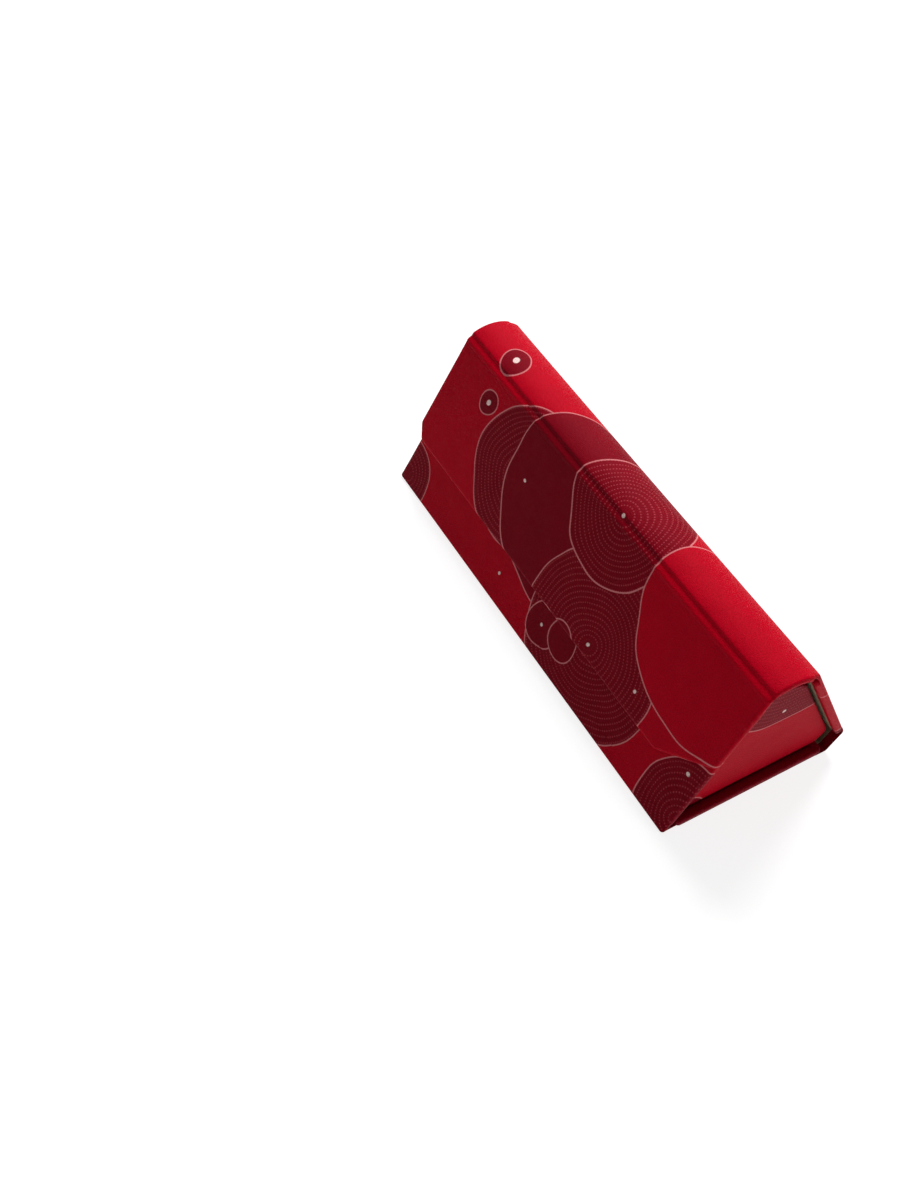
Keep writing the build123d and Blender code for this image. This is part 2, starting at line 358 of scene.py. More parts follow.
def strip_stations(half, end_round):
    """Places (x, drop) along a strip, where the drop rounds its two ends."""
    count = max(2, ceil(2 * half / STRIP_STEP))
    middle = [(-half + 2 * half * k / count, 0.0) for k in range(1, count)]
    middle = sorted(middle + [(-half + TURN_IN, 0.0), (half - TURN_IN, 0.0)])
    bends = [k * pi / 2 / EDGE_STEPS for k in range(EDGE_STEPS + 1)]
    rounding = [(half - end_round * (1 - sin(a)), end_round * (1 - cos(a))) for a in bends]
    return [(-x, drop) for x, drop in reversed(rounding)] + middle + rounding


def sheet_strip(name, points, radii, outer, inner, half, at, materials, span=None, end_round=1.0):
    """A soft strip along the case, with its ends rounded like those of the boards beside it.

    outer and inner are (run, height) profiles, and span is the stretch of run this piece covers.
    radii are the corner radii of the outer and of the inner face. at is the unrolled place of run 0.
    """
    path, inner_path = (bent_path(points, r) for r in radii)
    marks = strip_marks(path, outer, *(span if span else (outer[0][0], outer[-1][0])))
    top = along(path, marks, outer)
    bottom = along(inner_path, marks, inner)
    thin = bottom - top
    thin /= np.linalg.norm(thin, axis=1)[:, None]
    total = len(marks)
    flat = [at + mark for mark in marks]
    bm = new_mesh()
    rings = []
    for x, drop in strip_stations(half, end_round):
        face = top + thin * drop
        points = [face[i] for i in range(total)] + [bottom[i] for i in reversed(range(total))]
        verts = [bm.verts.new(placed(x, p)) for p in points]
        rings.append((verts, [(x, v) for v in flat + flat[::-1]]))

    def lined(i, a, b):
        return total <= i < 2 * total - 1 and abs(a.co.x + b.co.x) < 2 * (half - TURN_IN) * MM

    skin(bm, rings, lined if len(materials) > 1 else None)
    bmesh.ops.recalc_face_normals(bm, faces=bm.faces[:])
    return new_piece(name, bm, materials)


# ---------------------------------------------------------------- materials
class Net:
    """Short calls that add shader nodes to one material."""

    def __init__(self, name):
        self.material = bpy.data.materials.new(name)
        self.material.use_nodes = True
        self.tree = self.material.node_tree
        self.shader = self.tree.nodes["Principled BSDF"]

    def node(self, kind, **settings):
        made = self.tree.nodes.new(kind)
        for key, value in settings.items():
            setattr(made, key, value)
        return made

    def feed(self, socket, value):
        if isinstance(value, bpy.types.NodeSocket):
            self.tree.links.new(value, socket)
        else:
            socket.default_value = value

    def math(self, operation, *values, clamp=False):
        made = self.node("ShaderNodeMath", operation=operation, use_clamp=clamp)
        for socket, value in zip(made.inputs, values):
            self.feed(socket, value)
        return made.outputs[0]

    def vector(self, operation, *values):
        made = self.node("ShaderNodeVectorMath", operation=operation)
        for socket, value in zip(made.inputs, values):
            self.feed(socket, value)
        return made.outputs[0]

    def split(self, vector):
        made = self.node("ShaderNodeSeparateXYZ")
        self.feed(made.inputs[0], vector)
        return made.outputs

    def share(self, value, gain, offset):
        """The value times gain plus offset, held between 0 and 1."""
        return self.math("MULTIPLY_ADD", value, gain, offset, clamp=True)

    def between(self, share, low, high):
        return self.math("MULTIPLY_ADD", share, high - low, low)

    def mix(self, share, a, b):
        made = self.node("ShaderNodeMix", data_type="RGBA")
        self.feed(made.inputs[0], share)
        for socket, value in ((made.inputs[6], a), (made.inputs[7], b)):
            self.feed(socket, value if isinstance(value, bpy.types.NodeSocket) else (*value, 1.0))
        return made.outputs[2]

    def noise(self, vector, scale, detail=2.0, rough=0.5, output=0):
        made = self.node("ShaderNodeTexNoise")
        self.feed(made.inputs["Vector"], vector)
        self.feed(made.inputs["Scale"], scale)
        self.feed(made.inputs["Detail"], detail)
        self.feed(made.inputs["Roughness"], rough)
        return made.outputs[output]

    def bump(self, height, strength, distance, normal=None):
        made = self.node("ShaderNodeBump")
        self.feed(made.inputs["Strength"], strength)
        self.feed(made.inputs["Distance"], distance)
        self.feed(made.inputs["Height"], height)
        if normal is not None:
            self.feed(made.inputs["Normal"], normal)
        return made.outputs[0]

    def unrolled(self):
        return self.node("ShaderNodeUVMap", uv_map="unrolled").outputs[0]

    def from_object(self, scale):
        """The object's own coordinates, this many to the metre."""
        made = self.node("ShaderNodeVectorMath", operation="SCALE")
        self.feed(made.inputs[0], self.node("ShaderNodeTexCoord").outputs["Object"])
        self.feed(made.inputs["Scale"], scale)
        return made.outputs[0]

    def set(self, **values):
        for key, value in values.items():
            self.feed(self.shader.inputs[key.replace("_", " ")], value)


# Overlapping discs on the unrolled cover, lowest first: (u, v, radius, fill, dotted).
# fill 1 is maroon and 0 is red.
DISCS = [
    (-30.0, 42.0, 25.0, 1, 1),
    (-4.0, 50.0, 36.5, 1, 0),
    (25.0, 22.0, 30.5, 1, 1),
    (9.0, 62.0, 23.0, 1, 1),
    (65.0, 63.0, 36.5, 0, 0),
    (84.0, 8.0, 19.0, 1, 1),
    (-80.0, 3.0, 13.0, 1, 1),
    (-63.0, 66.5, 5.4, 1, 0),
    (-60.0, 50.5, 4.4, 1, 0),
    (4.5, 11.0, 7.6, 1, 0),
    (14.5, 14.0, 6.6, 1, 0),
    (186.0, 82.0, 40.0, 1, 1),
    (-196.0, 70.0, 30.0, 1, 1),
    (190.0, 2.0, 10.0, 1, 0),
    (-190.0, 2.0, 10.0, 1, 0),
    (96.0, 172.0, 48.0, 1, 0),
    (-46.0, 112.0, 30.0, 1, 1),
    (38.0, 118.0, 34.0, 1, 0),
    (60.0, 100.0, 17.0, 1, 1),
    (-4.0, 98.0, 13.0, 1, 1),
    (-70.0, 88.0, 7.0, 1, 0),
    (-10.0, 164.0, 28.0, 1, 1),
]
# Pale spots: (u, v, radius)
SPOTS = [
    (-63.0, 66.5, 1.25), (-60.0, 50.5, 1.0), (-30.0, 42.0, 0.65), (25.0, 22.0, 0.65), (9.0, 62.0, 0.65),
    (4.5, 11.0, 0.6), (77.0, 20.5, 0.7), (48.0, 26.0, 0.6), (199.0, 50.0, 0.6), (-46.0, 112.0, 0.65),
    (60.0, 100.0, 0.65), (-20.0, 10.0, 0.6), (-4.0, 98.0, 0.65), (-70.0, 88.0, 1.2),
]
RED = (0.487, 0.0, 0.011)
MAROON = (0.22, 0.001, 0.008)
RED_LOW, MAROON_LOW = 0.88, 0.85  # how dark the ink gets where it is thin
LINE_COLOUR = (0.72, 0.23, 0.24)
DOT_COLOUR = (0.46, 0.06, 0.075)
SPOT_COLOUR = (0.88, 0.66, 0.62)
GRAIN_COLOUR = (0.02, 0.0, 0.002)
# Painted highlight: the lighter pink laid in patches on the rounded edges, up to this share
EDGE_HIGHLIGHT_COLOUR = (0.50, 0.09, 0.11)
MOST_EDGE_HIGHLIGHT = 0.22
LINE_HALF = 0.24
RING_PITCH = 1.75
DOT_PITCH = 0.95
DOT_RADIUS = 0.24
DOT_PHASE = 500.5  # keeps the count of dots round a ring above 0
WANDER = 5.0  # how far the discs' outlines wander
FILL_SHARP, LINE_SHARP, DOT_SHARP, SPOT_SHARP = 7.0, 6.0, 5.0, 4.0
WEFT_PITCH, WARP_PITCH = 0.46, 0.62


def soft(net, value, sharp):
    """1 where a signed distance in mm is above 0, with an edge this sharp."""
    return net.share(value, sharp, 0.5)


def from_centre(net, place, centre):
    """Offsets and distance of a place on the cover from a centre."""
    m = net.math
    du, dv = (m("SUBTRACT", here, at) for here, at in zip(place, centre))
    return du, dv, m("SQRT", m("ADD", m("MULTIPLY", du, du), m("MULTIPLY", dv, dv)))


def hand_drawn(net, coords):
    """The place on the cover, moved by a slow wobble, so that the lines look drawn by hand."""
    wobble = net.noise(coords, scale=0.045, detail=1.0, output=1)
    shift = net.vector("MULTIPLY_ADD", wobble, (WANDER, WANDER, 0.0), (-WANDER / 2, -WANDER / 2, 0.0))
    return net.split(net.vector("ADD", coords, shift))[:2]


def ring_dots(net, du, dv, far, inside):
    """Dots on rings about a disc's centre, which thin out towards the middle."""
    m = net.math
    radius = m("MULTIPLY", m("ROUND", m("DIVIDE", far, RING_PITCH)), RING_PITCH)
    count = m("ROUND", m("MULTIPLY", radius, 2 * pi / DOT_PITCH))
    turns = m("MULTIPLY", m("ARCTAN2", dv, du), 0.5 / pi)
    cell = m("FRACT", m("MULTIPLY_ADD", turns, count, DOT_PHASE))
    across = m("MULTIPLY", m("SUBTRACT", cell, 0.5), DOT_PITCH)
    away = m("SUBTRACT", far, radius)
    reach = m("SQRT", m("ADD", m("MULTIPLY", across, across), m("MULTIPLY", away, away)))
    dot = m("MULTIPLY", soft(net, m("SUBTRACT", DOT_RADIUS, reach), DOT_SHARP), inside)
    return m("MULTIPLY", dot, net.share(far, 0.6, -0.9))


def disc_pattern(net, place):
    """Shares of maroon, outlines and dots, each disc laid over the ones before it."""
    m = net.math
    maroon, lines, dots = 0.0, 0.0, 0.0
    for cu, cv, radius, fill, dotted in DISCS:
        du, dv, far = from_centre(net, place, (cu, cv))
        inside = soft(net, m("SUBTRACT", radius, far), FILL_SHARP)
        outside = m("SUBTRACT", 1.0, inside)
        maroon, dots, lines = (m("MULTIPLY", below, outside) for below in (maroon, dots, lines))
        edge = m("ABSOLUTE", m("SUBTRACT", far, radius))
        lines = m("MAXIMUM", lines, soft(net, m("SUBTRACT", LINE_HALF, edge), LINE_SHARP))
        if fill:
            maroon = m("ADD", maroon, inside)
        if dotted:
            dots = m("MAXIMUM", dots, ring_dots(net, du, dv, far, inside))
    return maroon, lines, dots


def pale_spots(net, place):
    spots = 0.0
    for cu, cv, radius in SPOTS:
        far = from_centre(net, place, (cu, cv))[2]
        spots = net.math("MAXIMUM", spots, soft(net, net.math("SUBTRACT", radius, far), SPOT_SHARP))
    return spots


def printed_colour(net, coords, speck):
    """The print in its inks, which are a little uneven, with a lighter painted highlight in patches along
    the turned edges.
    """
    m = net.math
    place = hand_drawn(net, coords)
    maroon, lines, dots = disc_pattern(net, place)
    thin = net.share(net.noise(coords, scale=0.11, detail=3.0), 1.6, -0.3)
    red = net.mix(thin, RED, tuple(RED_LOW * c for c in RED))
    deep = net.mix(thin, MAROON, tuple(MAROON_LOW * c for c in MAROON))
    colour = net.mix(maroon, red, deep)
    colour = net.mix(m("MULTIPLY", dots, net.between(speck, 0.40, 0.90)), colour, DOT_COLOUR)
    colour = net.mix(m("MULTIPLY", lines, net.between(speck, 0.62, 0.97)), colour, LINE_COLOUR)
    colour = net.mix(pale_spots(net, place), colour, SPOT_COLOUR)
    colour = net.mix(net.share(speck, 1.5, -0.62), colour, GRAIN_COLOUR)
    edge = net.node("ShaderNodeAttribute", attribute_name="edge").outputs["Fac"]
    # A painted highlight on the rounded edges, broken into patches by noise
    highlight_patches = net.share(net.noise(coords, scale=0.55, detail=4.0, rough=0.65), 3.0, -1.45)
    return net.mix(m("MULTIPLY", m("MULTIPLY", edge, highlight_patches), MOST_EDGE_HIGHLIGHT), colour, EDGE_HIGHLIGHT_COLOUR)


def woven_grain(net, coords, speck):
    """The fine weave pressed into the sheet, its specks and its slow unevenness."""
    m = net.math
    u, v = net.split(coords)[:2]
    stray = net.noise(coords, scale=0.9)
    weft = m("SINE", m("MULTIPLY_ADD", v, 2 * pi / WEFT_PITCH, m("MULTIPLY", stray, 5.0)))
    warp = m("SINE", m("MULTIPLY_ADD", u, 2 * pi / WARP_PITCH, m("MULTIPLY", stray, 4.0)))
    weave = m("MULTIPLY_ADD", weft, 0.6, m("MULTIPLY", warp, 0.4))
    normal = net.bump(weave, strength=0.4, distance=0.00004)
    normal = net.bump(speck, strength=0.8, distance=0.00018, normal=normal)
    return net.bump(net.noise(coords, scale=0.16), strength=0.6, distance=0.0004, normal=normal)


def printed_cover():
    net = Net("printed_cover")
    coords = net.unrolled()
    speck = net.noise(coords, scale=2.6, rough=0.6)
    net.set(
        Base_Color=printed_colour(net, coords, speck),
        Roughness=net.between(speck, 0.40, 0.56),
        Normal=woven_grain(net, coords, speck),
        Specular_IOR_Level=0.026,
        Specular_Tint=(1.0, 0.36, 0.54, 1.0),
        Sheen_Weight=0.03,
        Sheen_Roughness=0.45,
        Sheen_Tint=(1.0, 0.30, 0.45, 1.0),
    )
    return net.material


def lining_cloth():
    net = Net("lining_cloth")
    coords = net.unrolled()
    nap = net.noise(coords, scale=3.2, detail=4.0, rough=0.7)
    brushed = net.noise(coords, scale=0.12, detail=3.0)
    pale = net.share(brushed, 0.8, net.math("MULTIPLY_ADD", nap, 0.7, -0.55))
    net.set(
        Base_Color=net.mix(pale, (0.11, 0.072, 0.036), (0.30, 0.21, 0.115)),
        Roughness=net.between(nap, 0.82, 0.97),
        Normal=net.bump(nap, strength=0.8, distance=0.00025),
        Specular_IOR_Level=0.2,
        Sheen_Weight=0.5,
        Sheen_Roughness=0.5,
        Sheen_Tint=(0.75, 0.62, 0.42, 1.0),
    )
    return net.material


def grey_board():
    net = Net("grey_board")
    coords = net.from_object(1 / MM)
    fibre = net.noise(coords, scale=1.6, detail=5.0, rough=0.7)
    fleck = net.share(net.noise(coords, scale=0.7), 9.0, -5.6)
    colour = net.mix(fibre, (0.30, 0.275, 0.235), (0.52, 0.49, 0.43))
    colour = net.mix(net.math("MULTIPLY", fleck, 0.5), colour, (0.14, 0.12, 0.10))
    net.set(Base_Color=colour, Roughness=0.9, Normal=net.bump(fibre, strength=0.6, distance=0.0002))
    return net.material


def nickel():
    net = Net("nickel")
    coords = net.from_object(1 / MM)
    brushed = net.noise(coords, scale=2.2, detail=4.0, rough=0.6)
    tarnish = net.noise(coords, scale=0.35, detail=3.0)
    net.set(
        Base_Color=net.mix(tarnish, (0.66, 0.65, 0.63), (0.48, 0.46, 0.43)),
        Metallic=1.0,
        Roughness=net.between(brushed, 0.22, 0.47),
        Normal=net.bump(brushed, strength=0.3, distance=0.00005),
    )
    return net.material


COVER = printed_cover()
LINING = lining_cloth()
BOARD = grey_board()
NICKEL = nickel()

for name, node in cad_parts.items():
    finish = BOARD if name.endswith("board") else NICKEL if name.endswith("magnets") else None
    if finish:
        for slot in node.material_slots:
            slot.material = finish

# ---------------------------------------------------------------- covered boards
EDGE = 1.0  # a board's rounding outside
INNER_EDGE = 0.7
EDGE_BULGE = 0.04
FACE_RIM = 0.5  # the outer face's own row, this far in from the rounding
# The end of a cover's margin, which sinks under the lining: (further in, sunk)
MARGIN_END = ((-0.2, 0.0), (0.0, 0.15), (0.3, 0.45))
# The rows that run round the board's edge take a lighter painted highlight
HIGHLIGHT_ROWS = range(2, 13)  # of cover_rows, those that run round the board's edge

# A lining from its face round to its back: (further in, sunk, further in when unrolled)
LINING_EDGE = (
    (0.9, 0.0, 0.9), (0.4, 0.0, 0.4), (0.12, 0.08, 0.1),
    (0.0, 0.22, -0.1), (-0.02, 0.41, -0.4), (0.5, 0.46, -0.9),
)
LINING_PROUD = 0.06

BOARD_CORNER = 1.6
RIDGE_CORNER = 1.2
# Each panel's reach, from the start of its way to its end
BASE_REACH = (2.2, 56.8)
FRONT_REACH = (3.0, 37.0)
BACK_REACH = (3.0, BACK_HEIGHT - 1.0)
RIDGE_REACH = (1.6, RIDGE_ARC - 3.0)
FLAP_TOP = FLAP_DROP - 4.5
# A lining runs on to the crease, this far past the board's margin
TO_CREASE = 2.3


def cover_rows(thick, edge=EDGE, inner=INNER_EDGE):
    """Rows of a cover that is turned over a board: outer face, edge, inner face and margin."""
    profile = [(edge + FACE_RIM, 0.0)] + quarter(edge, 0.0, pi / 2)
    profile += [(-EDGE_BULGE, -thick / 2)]
    profile += [(x, -thick - z) for x, z in quarter(inner, pi / 2, 0.0)]
    profile += [(TURN_IN + x, -thick + sunk) for x, sunk in MARGIN_END]
    rows, spread = [], profile[0][0]
    for before, here in zip([profile[0]] + profile, profile):
        spread -= hypot(here[0] - before[0], here[1] - before[1])
        rows.append((here[0], here[1], spread))
    return rows


def lining_rows(thick):
    """Rows of the lining glued inside the margin, with soft edges."""
    face = -thick - LINING_PROUD
    return [(TURN_IN + x, face + sunk, TURN_IN + flat) for x, sunk, flat in LINING_EDGE]


def rectangle(half, reach, radius):
    low, high = reach
    return [(-half, low, radius), (half, low, radius), (half, high, radius), (-half, high, radius)]


def spans(corners):
    return [max(c[k] for c in corners) - min(c[k] for c in corners) for k in (0, 1)]


def covered(name, body, corners, thick, place, unrolled, spread=(0.0, 0.0, 0.0), cell=2.0, **rounding):
    """Cover and lining of one panel.

    spread is how much further the lining reaches at the ends, at the first edge and at the last.
    """
    rows = cover_rows(thick, **rounding)
    cover = slab(f"{name}_cover_skin", corners, rows, place, unrolled, COVER, HIGHLIGHT_ROWS, cell)
    ends, first, last = spread
    lowest, highest = min(c[1] for c in corners), max(c[1] for c in corners)
    lined = []
    for x, y, radius in corners:
        y += last if y == highest else -first if y == lowest else 0.0
        lined.append((x + (ends if x > 0 else -ends), y, radius))
    rows = lining_rows(thick)
    liner = slab(f"{name}_lining_cloth", lined, rows, place, unrolled, LINING, cell=cell)
    for piece, layer, slot in ((cover, "cover", "printed_cover"), (liner, "lining", "lining")):
        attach(piece, body)
        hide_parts(f"{name}_{layer}")
    return liner, [span - 2 * TURN_IN for span in spans(lined)]


def base_panel():
    liner, size = covered(
        "base", "base", rectangle(HALF_LENGTH, BASE_REACH, BOARD_CORNER), BASE_THICK,
        flat_panel(REAR_FOLD, np.array((-1.0, 0.0))), lambda x, s: (x, AT_BASE + s),
        spread=(-1.5, TO_CREASE, TO_CREASE),
    )


def front_panel():
    liner, size = covered(
        "front", "front_panel", rectangle(HALF_FRONT, FRONT_REACH, BOARD_CORNER), FRONT_THICK,
        flat_panel(FRONT_FOLD, SLOPE), lambda x, s: (x, s), spread=(0.0, TO_CREASE, 0.0),
    )


def back_panel():
    liner, size = covered(
        "back", "back_panel", rectangle(HALF_LENGTH, BACK_REACH, BOARD_CORNER), BACK_THICK,
        flat_panel(RIDGE_BACK, BACK_WAY), lambda x, s: (x, AT_BACK + s),
        spread=(1.0, TO_CREASE, TO_CREASE),
    )


def flap_panel():
    """The right corner is cut back much further than the left one."""
    corners = [
        (-HALF_LID, FLAP_TOP, 1.6), (-HALF_LID, 5.0, 2.4), (-HALF_LID + 4.0, 0.0, 2.4),
        (HALF_LID - 19.0, 0.0, 3.0), (HALF_LID, 12.5, 3.0), (HALF_LID, FLAP_TOP, 1.6),
    ]
    liner, size = covered(
        "flap", "flap", corners, FLAP_THICK, flat_panel(FLAP_EDGE, SLOPE), lambda x, s: (x, AT_FLAP + s),
        spread=(0.0, 0.0, TO_CREASE),
    )


def ridge_panel():
    liner, size = covered(
        "ridge", "ridge", rectangle(HALF_LID, RIDGE_REACH, RIDGE_CORNER), RIDGE_THICK,
        lambda x, s, n: placed(x, on_ridge(s, n)), lambda x, s: (x, AT_RIDGE + s),
        spread=(0.0, TO_CREASE, TO_CREASE), cell=0.8, edge=0.9,
    )


base_panel()
front_panel()
back_panel()
flap_panel()
ridge_panel()

# ---------------------------------------------------------------- end wings
WING_TOP = 60.2  # a wing's top, up the front slope
WING_AIR = 0.3  # between a wing and the front panel
WING_FLOOR_GAP = 0.8
WING_BACK_GAP = 1.0
WING_HEEL = 4.0
WING_CORNERS = (1.5, 2.5, 2.5, 1.5, 1.5)


def wing_outline():
    """Corners of a wing in (y, z), counter-clockwise, worked out as in the part."""
    inward = left_of(SLOPE) * -(FRONT_THICK + WING_AIR)
    floor = BASE_THICK + WING_FLOOR_GAP
    foot = up_front((floor - inward[1]) / SLOPE[1]) + inward
    head = up_front(WING_TOP) + inward
    rear = RIDGE_BACK - left_of(BACK_WAY) * (BACK_THICK + WING_BACK_GAP)
    gap = WING_TOP - float((rear - FRONT_FOLD) @ SLOPE)
    rear_head = rear + BACK_WAY * gap / float(BACK_WAY @ SLOPE)
    heel = rear + BACK_WAY * (floor + WING_HEEL - rear[1]) / BACK_WAY[1]
    toe = heel + np.array((-WING_HEEL, floor - heel[1]))
    return [foot, toe, heel, rear_head, head]


def wing_panel(side, name):
    corners = [(*p, r) for p, r in zip(wing_outline(), WING_CORNERS)]

    def wing_place(y, z, n):
        return Vector((side * (WING_FACE + n), y, z)) * MM

    def unrolled(y, z):
        away = np.array((y, z)) - FRONT_FOLD
        return side * (WING_PRINT - float(away @ left_of(SLOPE))), float(away @ SLOPE)

    liner, size = covered(name, name, corners, WING_THICK, wing_place, unrolled, edge=0.6, inner=0.4)


TAPE = (8.0, 35.5)  # from and to, up the front slope
TAPE_STEPS = 12
TAPE_THICK = 0.13
TAPE_LAP = 1.9  # on the front panel's inner face
OFF_WING, OFF_FRONT = 0.01, 0.04  # clear of the wing's face and of the front panel's
# The tape's outer and inner bend, from the front panel to the wing: (off the wing, off the front panel)
TAPE_BEND = ((0.55, TAPE_THICK), (0.40, 0.16), (0.27, 0.22), (0.18, 0.30), (TAPE_THICK, 0.38))
TAPE_HOLLOW = ((0.50, 0.0), (0.25, 0.03), (0.12, 0.09), (0.05, 0.17), (0.0, 0.27), (0.0, 0.37))
TAPE_ROWS = (0.46, 0.54, 0.62, 0.70, 0.80, 1.2, 2.0, 3.0, 4.0)  # down the wing's face
# The tape turns between these depths, so that it is square to the wing just past the hinge
TAPE_TURN = (0.14, 0.80)


def wing_tape(side, name):
    """Folded strip from the front panel's inner face round to the wing's outer face."""
    face = WING_FACE + OFF_WING
    depth = FRONT_THICK + OFF_FRONT
    outer = [(TAPE_LAP, TAPE_THICK), *TAPE_BEND] + [(TAPE_THICK, d) for d in TAPE_ROWS]
    inner = [(TAPE_LAP, 0.0), *TAPE_HOLLOW] + [(0.0, d) for d in TAPE_ROWS]
    section = [(face + x, depth + d) for x, d in outer + inner[::-1]]
    inward = -left_of(SLOPE)
    bm = new_mesh()
    rings = []
    for k in range(TAPE_STEPS + 1):
        climb = TAPE[0] + (TAPE[1] - TAPE[0]) * k / TAPE_STEPS
        points = [(side * x, *(up_front(climb) + inward * d)) for x, d in section]
        flat = [(side * (WING_PRINT + d), climb) for _, d in section]
        rings.append(([bm.verts.new(Vector(p) * MM) for p in points], flat))
    skin(bm, rings)
    bmesh.ops.recalc_face_normals(bm, faces=bm.faces[:])
    piece = new_piece(f"{name}_crease_skin", bm, [COVER])
    start, end = (at_point(up_front(20.0) + inward * (depth + d)) for d in TAPE_TURN)
    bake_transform(piece, "front_panel", name, start=start, end=end)
    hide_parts(f"{name}_crease")


for side, name in ((-1, "left_wing"), (1, "right_wing")):
    wing_panel(side, name)
    wing_tape(side, name)

# ---------------------------------------------------------------- soft creases
BOTH = [COVER, LINING]

# Height of a strip's face over the boards it laps, how deep its lapped ends go, and over what run
LAP = 0.012
UNDER = -0.05
TUCK = -0.035
FADE = 0.9
# A strip turns from this far on its own side of a hinge line to this far on the board's side
STRIP_TURN, BOARD_TURN = 1.9, 0.8


def crease(name, node, slot, bodies, turning, *args, **kwargs):
    """A strip that turns with the hinge between two bodies, over a stretch of the section."""
    piece = sheet_strip(name, *args, **kwargs)
    start, end = turning
    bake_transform(piece, *bodies, start=at_point(start), end=at_point(end))
    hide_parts(node)


FRONT_LAP = 4.5
FRONT_UNDER = -7.2  # the strip runs under the base's front edge to here
FRONT_INNER = -1.3
FOLD_ACROSS = np.array((-0.508, 0.862))  # from the base towards the front panel, across the fold


def front_crease():
    """Front fold, from the base's front edge round to the front panel."""
    end = FRONT_LAP + FADE
    outer = [(FRONT_UNDER, UNDER), (-0.6, 0.0), (1.5, LAP), (FRONT_LAP, LAP), (end, TUCK)]
    inner = [(FRONT_UNDER, FRONT_INNER), (end, FRONT_INNER)]
    crease(
        "front_crease_skin", "front_crease", "printed_cover", ("base", "front_panel"),
        (FRONT_FOLD - FOLD_ACROSS * 2.0, FRONT_FOLD + FOLD_ACROSS * 1.4),
        [FRONT_FOLD + (12.0, 0.0), FRONT_FOLD, up_front(10.0)], ([0.45], [1.6]),
        outer, inner, HALF_FRONT, 0.0, BOTH,
    )


SPINE_LAP = 2.2  # on the back panel
SPINE_UNDER = 3.9  # under the base
SPINE_SKIN, SPINE_CLOTH = -0.75, -1.3  # inner faces of the cover and of the lining
SPINE_RADII = [1.6, 1.2]
SPINE_TURN = 0.6
HEEL_TURN = (2.0, 2.6)


def rear_spine():
    """Spine between the back panel and the base, in two halves that meet half way up it."""
    points = [BACK_FOOT - BACK_WAY * 8.0, BACK_FOOT, REAR_FOLD, REAR_FOLD - (8.0, 0.0)]
    top, mid, reach = -SPINE_LAP - FADE, SPINE / 2, SPINE + SPINE_UNDER
    outer = [(top, TUCK), (-SPINE_LAP, LAP), (0.0, LAP), (SPINE, 0.0), (reach, UNDER)]
    skin_in = [(top, SPINE_SKIN), (reach, SPINE_SKIN)]
    cloth_in = [(top, SPINE_CLOTH), (reach, SPINE_CLOTH)]
    middle = (BACK_FOOT + REAR_FOLD) / 2
    upper_turn = (middle - SPINE_WAY * SPINE_TURN, BACK_FOOT - BACK_WAY * SPINE_TURN)
    lower_turn = (REAR_FOLD - (HEEL_TURN[0], 0.0), REAR_FOLD - SPINE_WAY * HEEL_TURN[1])
    for part, span, bodies, turning in (
        ("upper", (top, mid), ("rear_spine", "back_panel"), upper_turn),
        ("lower", (mid, reach), ("base", "rear_spine"), lower_turn),
    ):
        crease(
            f"spine_cover_{part}", "spine_cover", "printed_cover", bodies, turning,
            points, (SPINE_RADII, SPINE_RADII), outer, skin_in, HALF_LENGTH, AT_SPINE,
            [COVER], span=span, end_round=0.7,
        )
        crease(
            f"spine_lining_{part}", "spine_lining", "lining", bodies, turning,
            points, (SPINE_RADII, SPINE_RADII), skin_in, cloth_in, HALF_LENGTH - TURN_IN, AT_SPINE,
            [LINING], span=span, end_round=0.4,
        )


RIDGE_STEP = 0.5
LID_LAP = 4.2
LID_INNER = -1.2
LID_RADIUS = 2.0
LID_GAP = 3.0  # from the crease to each of its hinge lines


def lid_crease():
    """Rear crease of the ridge, in two halves that meet at the crease."""
    ridge_line = on_ridge(RIDGE_ARC - LID_GAP)
    back_line = RIDGE_BACK + BACK_WAY * LID_GAP
    toward = (RIDGE_BACK - ridge_line) / hypot(*(RIDGE_BACK - ridge_line))
    curve = [on_ridge(RIDGE_ARC - RIDGE_STEP * k) for k in range(14, 2, -1)]
    points = curve + [RIDGE_BACK, RIDGE_BACK + BACK_WAY * 8.0]
    radii = [0] * (len(curve) - 1) + [LID_RADIUS]
    reach = LID_LAP + FADE
    outer = [(-reach, TUCK), (-LID_LAP, LAP), (LID_LAP, LAP), (reach, TUCK)]
    inner = [(-reach, LID_INNER), (reach, LID_INNER)]
    ridge_turn = (ridge_line + toward * STRIP_TURN, ridge_line - toward * BOARD_TURN)
    back_turn = (back_line + BACK_WAY * BOARD_TURN, back_line - BACK_WAY * STRIP_TURN)
    for part, span, bodies, turning in (
        ("upper", (-reach, 0.0), ("lid_crease_strip", "ridge"), ridge_turn),
        ("lower", (0.0, reach), ("back_panel", "lid_crease_strip"), back_turn),
    ):
        crease(
            f"lid_crease_{part}", "lid_crease", "printed_cover", bodies, turning,
            points, (radii, radii), outer, inner, HALF_LENGTH, AT_BACK, BOTH, span=span,
        )


FLAP_LAP, RIDGE_LAP = 6.0, 3.2
FLAP_INNER = -1.4
FLAP_GAP = 4.5  # from the ridge's front crease to the flap's hinge line
FLAP_SPLIT = -2.8
# The pressed valley, with a soft lip on the flap's side
VALLEY = (
    (-3.0, LAP), (-2.5, 0.06), (-2.0, 0.13), (-1.6, 0.10), (-1.2, -0.06), (-0.8, -0.32), (-0.4, -0.58),
    (0.0, -0.70), (0.4, -0.64), (0.8, -0.42), (1.2, -0.18), (1.6, -0.03), (2.0, LAP),
)


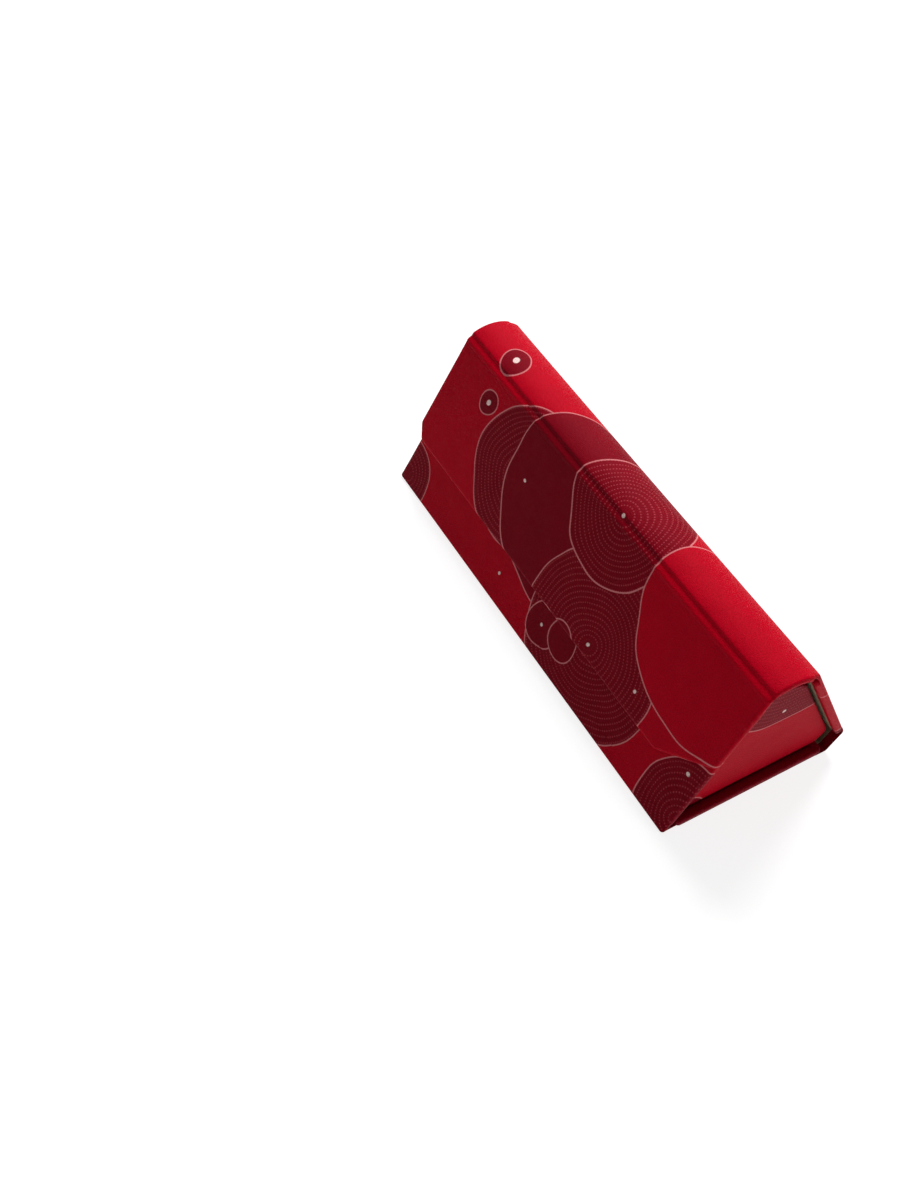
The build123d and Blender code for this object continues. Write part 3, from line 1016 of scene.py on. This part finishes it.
def flap_crease():
    """Front crease of the ridge, in two parts that meet below its lip."""
    flap_line = RIDGE_FRONT - SLOPE * FLAP_GAP
    curve = [on_ridge(1.2 + RIDGE_STEP * k) for k in range(10)]
    points = [RIDGE_FRONT - SLOPE * 10.0, RIDGE_FRONT] + curve
    low, high = -FLAP_LAP - FADE, RIDGE_LAP + FADE
    outer = [(low, TUCK), (-FLAP_LAP, LAP), *VALLEY, (RIDGE_LAP, LAP), (high, TUCK)]
    inner = [(low, FLAP_INNER), (high, FLAP_INNER)]
    ridge_turn = (on_ridge(0.9), RIDGE_FRONT - SLOPE * 1.4)
    flap_turn = (flap_line + SLOPE * STRIP_TURN, flap_line - SLOPE * BOARD_TURN)
    for part, span, bodies, turning in (
        ("upper", (FLAP_SPLIT, high), ("ridge", "flap_crease_strip"), ridge_turn),
        ("lower", (low, FLAP_SPLIT), ("flap_crease_strip", "flap"), flap_turn),
    ):
        crease(
            f"flap_crease_{part}", "flap_crease", "printed_cover", bodies, turning,
            points, ([0.9], [2.2]), outer, inner, HALF_LID, AT_RIDGE, BOTH, span=span, end_round=0.95,
        )


front_crease()
rear_spine()
lid_crease()
flap_crease()

# ---------------------------------------------------------------- stage
FLOOR_HALF = 12.0
FLOOR_CELLS = 24
FLOOR_DROP = 0.0003
FLOOR_TONES = (0.29, 0.32)
FLOOR_GLOW = 0.82
WHITE = (1.0, 1.0, 1.0, 1.0)


def pale_floor():
    bm = bmesh.new()
    bmesh.ops.create_grid(bm, x_segments=FLOOR_CELLS, y_segments=FLOOR_CELLS, size=FLOOR_HALF)
    net = Net("pale_floor")
    fibre = net.noise(net.from_object(1.0), scale=180.0, detail=4.0, rough=0.6)
    low, high = ((tone,) * 3 for tone in FLOOR_TONES)
    net.set(
        Base_Color=net.mix(fibre, low, high),
        Roughness=0.9,
        Specular_IOR_Level=0.1,
        Emission_Color=WHITE,
        Emission_Strength=FLOOR_GLOW,
    )
    floor = new_piece("floor", bm, [net.material])
    floor.location.z = -FLOOR_DROP


AIM = Vector((0.0, 0.0, 0.03))
KEY = dict(place=Vector((-0.55, 0.55, 0.85)), size=0.60, power=19.5)
SIDE = dict(place=Vector((0.9, 0.5, 0.45)), size=0.50, power=1.9)
WORLD_LIGHT = 0.20


def disk_light(name, place, size, power):
    data = bpy.data.lights.new(name, "AREA")
    data.shape = "DISK"
    data.size = size
    data.energy = power
    lamp = bpy.data.objects.new(name, data)
    lamp.location = place
    lamp.rotation_euler = (AIM - place).to_track_quat("-Z", "Y").to_euler()
    bpy.context.scene.collection.objects.link(lamp)


def white_world():
    world = bpy.data.worlds.new("studio")
    world.use_nodes = True
    background = world.node_tree.nodes["Background"]
    background.inputs["Color"].default_value = WHITE
    background.inputs["Strength"].default_value = WORLD_LIGHT
    bpy.context.scene.world = world


pale_floor()
disk_light("key_light", **KEY)
disk_light("side_light", **SIDE)
white_world()
bpy.context.scene.view_settings.view_transform = "Standard"
